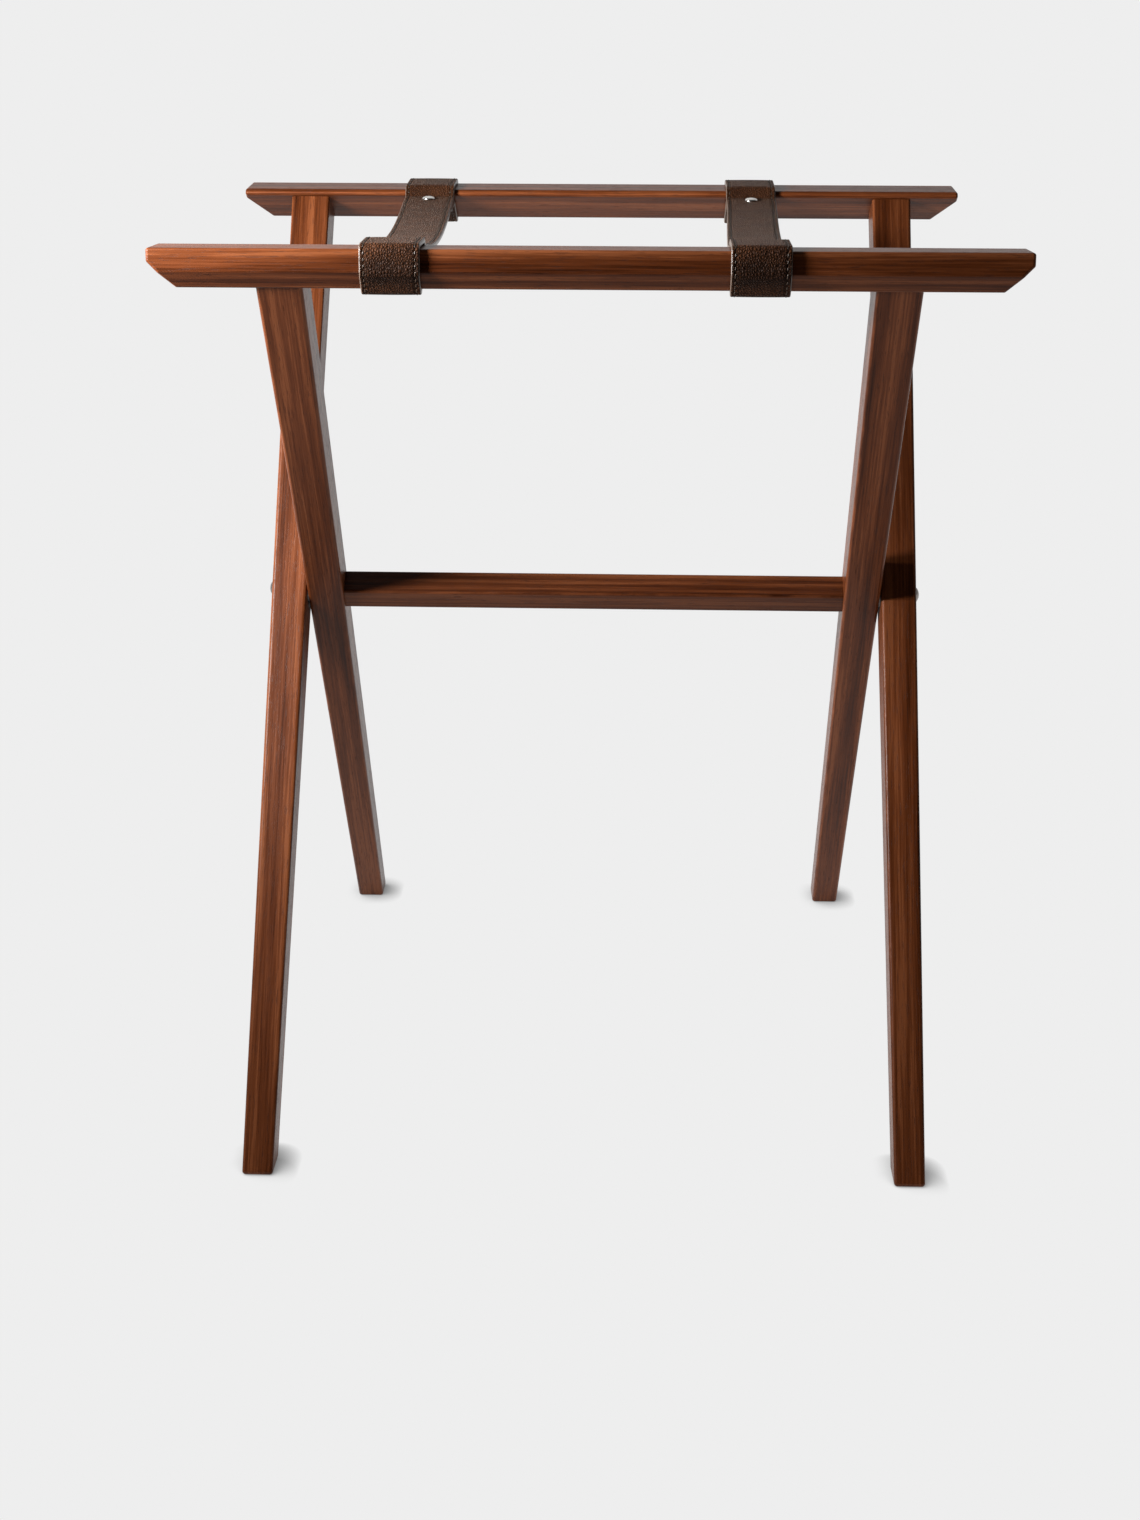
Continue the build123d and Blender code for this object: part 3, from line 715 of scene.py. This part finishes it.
def add_stitch(bm, lengths, route, middle, across, face):
    """One slanted stitch; face is 1 on the grain side and -1 on the flesh side."""
    rise = GRAIN_THREAD_RISE if face > 0 else FLESH_THREAD_RISE
    rings = []
    for index in range(STITCH_SECTIONS):
        share = index / (STITCH_SECTIONS - 1)
        along = (share - 0.5) * STITCH_LENGTH
        point, up = route.at(middle + along)
        from_middle = abs(2 * share - 1)
        dive = THREAD_DIVE * from_middle**4
        radius = THREAD_RADIUS * (1 - THREAD_TAPER * from_middle**3)
        slant = face * STITCH_SLANT * (share - 0.5)
        centre = point + Vector((across + slant, 0, 0)) + up * face * (STRAP_THICKNESS / 2 + rise - dive)
        ring = []
        for side in range(STITCH_SIDES):
            angle = 2 * math.pi * side / STITCH_SIDES
            offset = Vector((math.cos(angle), 0, 0)) + up * math.sin(angle)
            ring.append(bm.verts.new(centre + offset * radius))
        rings.append((ring, middle + along))
    for (ring, start), (following, stop) in zip(rings, rings[1:]):
        for side in range(STITCH_SIDES):
            other = (side + 1) % STITCH_SIDES
            quad = bm.faces.new((ring[side], ring[other], following[other], following[side]))
            low = side * THREAD_RADIUS
            for loop, place in zip(quad.loops, ((start, low), (start, low), (stop, low), (stop, low))):
                loop[lengths].uv = place
    for ring in (rings[0][0], rings[-1][0]):
        bm.faces.new(ring)


def make_stitching(name, route, material):
    """Both rows of stitches on both sides of a strap, as one piece."""
    bm = bmesh.new()
    lengths = bm.loops.layers.uv.new("thread")
    total = route.lengths[-1]
    count = int((total - 2 * STITCH_PITCH) / STITCH_PITCH)
    start = (total - (count - 1) * STITCH_PITCH) / 2
    row = STRAP_WIDTH / 2 - GROOVE_PLACE
    for index in range(count):
        middle = start + index * STITCH_PITCH
        for across in (-row, row):
            add_stitch(bm, lengths, route, middle, across, 1)
            if index < count - 1:
                add_stitch(bm, lengths, route, middle + STITCH_PITCH / 2, across, -1)
    return make_object(name, bm, [material])


# ---------------------------------------------------------------- studs

STUD_SEGMENTS = 48
HEAD_STEPS = 7
SHANK_REACH = 0.003            # of a stud's post or a screw's shank into the leather
CHAMFER_WIDTH = 0.0003         # of a head's lower rim
CHAMFER_HEIGHT = 0.0002


def head_profile(shank, radius, rim, rise, crown_angle):
    """Half profile of a head on its shank, as (radius, height above the leather)."""
    profile = [(shank, -SHANK_REACH), (shank, 0.0)]
    profile += [(radius - CHAMFER_WIDTH, 0.0), (radius, CHAMFER_HEIGHT)]
    for step in range(HEAD_STEPS + 1):
        angle = math.radians(crown_angle) * step / HEAD_STEPS
        profile.append((radius * math.cos(angle), rim + rise * math.sin(angle)))
    return profile


STUD_CAP = head_profile(shank=0.0020, radius=0.0049, rim=0.0005, rise=0.0017, crown_angle=83)
SCREW_HEAD = head_profile(shank=0.0012, radius=0.0046, rim=0.0006, rise=0.0011, crown_angle=34)
HEAD_GAP = 0.00005             # between a head and the leather
HEAD_BASE = DOUBLED_HALF + HEAD_GAP
SLOT_HALF = 0.0005
SLOT_DEPTH = 0.0006
LEVEL = 1e-6                   # difference in height within which faces are level


def lathe(bm, profile, origin, up, side):
    """Turned shape about a line through origin, with its last ring left open."""
    other = up.cross(side)
    rings = []
    for radius, height in profile:
        ring = []
        for index in range(STUD_SEGMENTS):
            angle = 2 * math.pi * index / STUD_SEGMENTS
            offset = side * math.cos(angle) + other * math.sin(angle)
            ring.append(bm.verts.new(origin + up * height + offset * radius))
        rings.append(ring)
    for ring, following in zip(rings, rings[1:]):
        for index in range(STUD_SEGMENTS):
            after = (index + 1) % STUD_SEGMENTS
            bm.faces.new((ring[index], ring[after], following[after], following[index]))
    bm.faces.new(rings[0])
    return rings[-1]


def stud_place(x, end_name):
    """Middle of the doubled leather at a stud, and the direction out of the grain side."""
    inward = -STRAP_SLOPES[end_name]
    tail_start = loop_corners(end_name)[-2]
    y, z = shifted(moved(tail_start, inward, STUD_PLACE), inward, -LAYER_STEP / 2)
    end = ENDS[end_name]
    up = Vector((0.0, end * math.sin(inward), math.cos(inward)))
    return Vector((x, -end * y, z)), up


def make_stud(name, x, end_name, material):
    """Domed cap on the grain side, with its post."""
    middle, up = stud_place(x, end_name)
    bm = bmesh.new()
    last = lathe(bm, STUD_CAP, middle + up * HEAD_BASE, up, Vector(ALONG_X))
    bm.faces.new(last)
    return make_object(name, bm, [material])


def make_stud_screw(name, x, end_name, material):
    """Low head with a cut slot on the flesh side."""
    middle, up = stud_place(x, end_name)
    base = middle - up * HEAD_BASE
    side = Vector(ALONG_X)
    across = (-up).cross(side)
    bm = bmesh.new()
    bm.faces.new(lathe(bm, SCREW_HEAD, base, -up, side))
    for sign in (-1, 1):
        geometry = bm.verts[:] + bm.edges[:] + bm.faces[:]
        cut = base + across * sign * SLOT_HALF
        bmesh.ops.bisect_plane(bm, geom=geometry, plane_co=cut, plane_no=across)
    top = base - up * SCREW_HEAD[-1][1]
    slot_faces = []
    for found in bm.faces:
        from_top = found.calc_center_median() - top
        if abs(from_top.dot(up)) < LEVEL and abs(from_top.dot(across)) < SLOT_HALF:
            slot_faces.append(found)
    sunk = bmesh.ops.extrude_discrete_faces(bm, faces=slot_faces)
    for found in sunk["faces"]:
        bmesh.ops.translate(bm, verts=found.verts[:], vec=up * SLOT_DEPTH)
    return make_object(name, bm, [material])


# ---------------------------------------------------------------- stage, light and camera

BACKDROP = 0.855               # linear level of the pale floor and backdrop
DARK_ROOM = 0.015              # level of the surroundings in front of the rack
DARK_UP_TO = -0.22             # direction's Y up to which the surroundings are dark
BRIGHT_FROM = 0.55             # and from which they are as bright as the backdrop
DIM_STARTS = -0.3              # direction's X between which the surroundings dim, to the right
DIM_ENDS = 0.7
DIM_SIDE = 0.6                 # level on the right, as a share of that on the left
FLOOR_GLOW = 1.12              # light that the floor gives the rack
DARK_FLOOR = 0.02              # and that it gives from further in front than the next value
DARK_FLOOR_ENDS = -1.50
FLOOR_GLOW_STARTS = -0.55      # Y from which the floor glows fully
FLOOR_REACH = 150.0
FLOOR_NEAR = -2.5
FLOOR_HEIGHT = -0.0002         # just under the feet
CONTACT_AIM = {"X": -0.60, "Y": -0.60, "Z": 0.53}   # direction that contact shadows fall away from
CONTACT_REACH = 0.017          # how near something has to be to darken the floor
CONTACT_POWER = 1.5
CONTACT_SAMPLES = 24
KEY_PLACE = (-0.63, -0.37, 0.79)
KEY_AIM = (-0.20, -0.12, 0.57)
KEY_SIZE = 0.26
KEY_POWER = 9.8
KEY_SPREAD = math.radians(96)
CAMERA_PLACE = (0.03299, -1.53338, 0.77905)
CAMERA_PITCH = math.radians(20.347)
CAMERA_YAW = math.radians(1.849)
CAMERA_ROLL = math.radians(0.1035)
CAMERA_LENS = 52.24
SENSOR_WIDTH = 36.0
FAR_CLIP = 500.0


def make_camera():
    """Camera in front of the rack, looking a little down."""
    data = bpy.data.cameras.new("camera")
    data.lens = CAMERA_LENS
    data.sensor_width = SENSOR_WIDTH
    data.clip_end = FAR_CLIP
    camera = bpy.data.objects.new("camera", data)
    bpy.context.scene.collection.objects.link(camera)
    turn = Matrix.Rotation(CAMERA_YAW, 4, "Z")
    turn = turn @ Matrix.Rotation(math.radians(90) - CAMERA_PITCH, 4, "X")
    turn = turn @ Matrix.Rotation(CAMERA_ROLL, 4, "Z")
    camera.matrix_world = Matrix.Translation(CAMERA_PLACE) @ turn
    bpy.context.scene.camera = camera


def make_world():
    """Pale backdrop; the rack is lit from behind, with a dark room in front of it."""
    world = bpy.data.worlds.new("studio")
    bpy.context.scene.world = world
    world.use_nodes = True
    tree = world.node_tree
    tree.nodes.clear()
    direction = tree.nodes.new("ShaderNodeTexCoord").outputs["Generated"]
    parts = add(tree, "ShaderNodeSeparateXYZ", {0: direction}).outputs
    behind = remap(tree, parts["Y"], DARK_UP_TO, BRIGHT_FROM, DARK_ROOM, BACKDROP)
    dimmed = remap(tree, parts["X"], DIM_STARTS, DIM_ENDS, 1.0, DIM_SIDE)
    level = math_node(tree, "MULTIPLY", behind, dimmed)
    surround = add(tree, "ShaderNodeBackground", {"Strength": level})
    shown = add(tree, "ShaderNodeBackground", {"Strength": BACKDROP})
    for node in (surround, shown):
        node.inputs["Color"].default_value = (1, 1, 1, 1)
    seen = tree.nodes.new("ShaderNodeLightPath").outputs["Is Camera Ray"]
    inputs = {0: seen, 1: surround.outputs[0], 2: shown.outputs[0]}
    mixed = add(tree, "ShaderNodeMixShader", inputs)
    add(tree, "ShaderNodeOutputWorld", {"Surface": mixed.outputs[0]})


def make_floor():
    """Pale floor that glows evenly, darkened only close to the feet."""
    far = 2 * FLOOR_REACH
    bm = bmesh.new()
    near_corners = [(-FLOOR_REACH, FLOOR_NEAR), (FLOOR_REACH, FLOOR_NEAR)]
    far_corners = [(FLOOR_REACH, far), (-FLOOR_REACH, far)]
    bm.faces.new([bm.verts.new((x, y, FLOOR_HEIGHT)) for x, y in near_corners + far_corners])
    material = bpy.data.materials.new("pale_floor")
    material.use_nodes = True
    tree = material.node_tree
    tree.nodes.clear()
    towards = add(tree, "ShaderNodeCombineXYZ", CONTACT_AIM).outputs[0]
    inputs = {"Distance": CONTACT_REACH, "Normal": towards}
    occlusion = add(tree, "ShaderNodeAmbientOcclusion", inputs, samples=CONTACT_SAMPLES)
    shade = math_node(tree, "POWER", occlusion.outputs["AO"], CONTACT_POWER)
    place = tree.nodes.new("ShaderNodeNewGeometry").outputs["Position"]
    forward = add(tree, "ShaderNodeSeparateXYZ", {0: place}).outputs["Y"]
    lit = remap(tree, forward, DARK_FLOOR_ENDS, FLOOR_GLOW_STARTS, DARK_FLOOR, FLOOR_GLOW)
    seen = tree.nodes.new("ShaderNodeLightPath").outputs["Is Camera Ray"]
    shown = math_node(tree, "MULTIPLY", seen, BACKDROP)
    unseen = math_node(tree, "SUBTRACT", 1.0, seen)
    level = math_node(tree, "MULTIPLY_ADD", unseen, lit, shown)
    strength = math_node(tree, "MULTIPLY", level, shade)
    glow = add(tree, "ShaderNodeEmission", {"Strength": strength})
    add(tree, "ShaderNodeOutputMaterial", {"Surface": glow.outputs[0]})
    floor = make_object("floor", bm, [material])


def make_key_light():
    """Soft lamp close by, at the upper left in front."""
    data = bpy.data.lights.new("key", "AREA")
    data.shape = "DISK"
    data.size = KEY_SIZE
    data.energy = KEY_POWER
    data.spread = KEY_SPREAD
    lamp = bpy.data.objects.new("key", data)
    lamp.location = KEY_PLACE
    lamp.rotation_euler = (Vector(KEY_AIM) - Vector(KEY_PLACE)).to_track_quat("-Z", "Y").to_euler()
    lamp.visible_camera = False
    bpy.context.scene.collection.objects.link(lamp)


make_camera()
make_world()
make_floor()
make_key_light()
bpy.context.scene.view_settings.view_transform = "Standard"

# ---------------------------------------------------------------- finishes of the CAD pieces


def dress(node, material):
    """Give a CAD node one material."""
    slots = NODES[node].data.materials
    slots.clear()
    slots.append(material)


RAILS = {                      # place in the board that a rail was cut from, and brightness: the wood's own tone and painted light and shade
    "front": ((0.37, 0.05, -0.55), 1.0),
    "back": ((0.91, -0.13, -0.52), 1.2),
}
RAIL_ENDS = rail_end_normals()
for end_name, (place, tone_and_light) in RAILS.items():
    faces = section_normals(ENDS[end_name]) + RAIL_ENDS
    dress(f"{end_name}_rail", walnut(f"walnut_{end_name}_rail", ALONG_X, faces, place, tone_and_light))

STRETCHER_FACES = leg_faces(INNER) + [(0.0, -math.sin(LEAN), math.cos(LEAN))]
STRETCHER_PLACE = (0.23, 0.06, -0.28)
# Brightness of the stretcher: the wood's own tone and painted shade.
STRETCHER_TONE_AND_LIGHT = 0.85
dress("stretcher", walnut("walnut_stretcher", ALONG_X, STRETCHER_FACES, STRETCHER_PLACE, STRETCHER_TONE_AND_LIGHT))

LEGS = {                       # place in the board that a leg was cut from, and brightness: the wood's own tone and painted light and shade
    ("inner", "left"): ((0.44, 0.20, 0.11), 1.08),
    ("inner", "right"): ((0.57, -0.14, 0.06), 1.3),
    ("outer", "left"): ((0.83, 0.29, -0.05), 1.05),
    ("outer", "right"): ((0.31, -0.16, -0.07), 0.85),
}
for (which_name, side_name), (place, tone_and_light) in LEGS.items():
    which = INNER if which_name == "inner" else OUTER
    grain = leg_grain(which, SIDES[side_name])
    leg = f"{which_name}_leg_{side_name}"
    dress(leg, walnut(f"walnut_{leg}", grain, leg_faces(which), place, tone_and_light))

STEEL = metal("blackened_steel", colour=(0.19, 0.17, 0.16), roughness=0.22, brushed=1400.0)
BRASS = metal("turned_brass", colour=(0.72, 0.50, 0.22), roughness=0.25, brushed=1400.0)
NICKEL = metal("polished_nickel", colour=(0.72, 0.70, 0.67), roughness=0.10, brushed=1800.0)
BEECH = beech()
dress("front_rail_dowels", BEECH)
dress("back_rail_dowels", BEECH)
for side_name in SIDES:
    dress(f"pivot_bolt_{side_name}", STEEL)
    dress(f"pivot_washer_{side_name}", STEEL)
    dress(f"pivot_bush_{side_name}", BRASS)
    dress(f"pivot_insert_{side_name}", BRASS)

# ---------------------------------------------------------------- straps and studs

LEATHER = [leather_grain(), leather_edge(), leather_flesh()]
THREAD = waxed_thread()
ROUTE_STEP = 0.0015            # between points on the straight runs of a strap


def follow_both(piece):
    """Bake a piece's placement into its mesh."""
    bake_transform(piece)


def middle_x(node):
    """X of the middle of a CAD node."""
    low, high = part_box(node)
    return (low.x + high.x) / 2


for side_name in SIDES:
    front_x = middle_x(f"strap_{side_name}_front_loop")
    back_x = middle_x(f"strap_{side_name}_back_loop")
    route = Route(strap_route(ROUTE_STEP), front_x, back_x)
    strap = make_strap(f"strap_{side_name}", route, LEATHER)
    loops = [f"strap_{side_name}_{end_name}_loop" for end_name in ENDS]
    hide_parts(f"strap_{side_name}_span", *loops)
    follow_both(strap)
    follow_both(make_stitching(f"strap_{side_name}_stitching", route, THREAD))
    for end_name, x in (("front", front_x), ("back", back_x)):
        stud = make_stud(f"stud_{side_name}_{end_name}", x, end_name, NICKEL)
        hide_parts(f"strap_stud_{side_name}_{end_name}")
        follow_both(stud)
        screw = make_stud_screw(f"stud_screw_{side_name}_{end_name}", x, end_name, NICKEL)
        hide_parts(f"strap_screw_{side_name}_{end_name}")
        follow_both(screw)
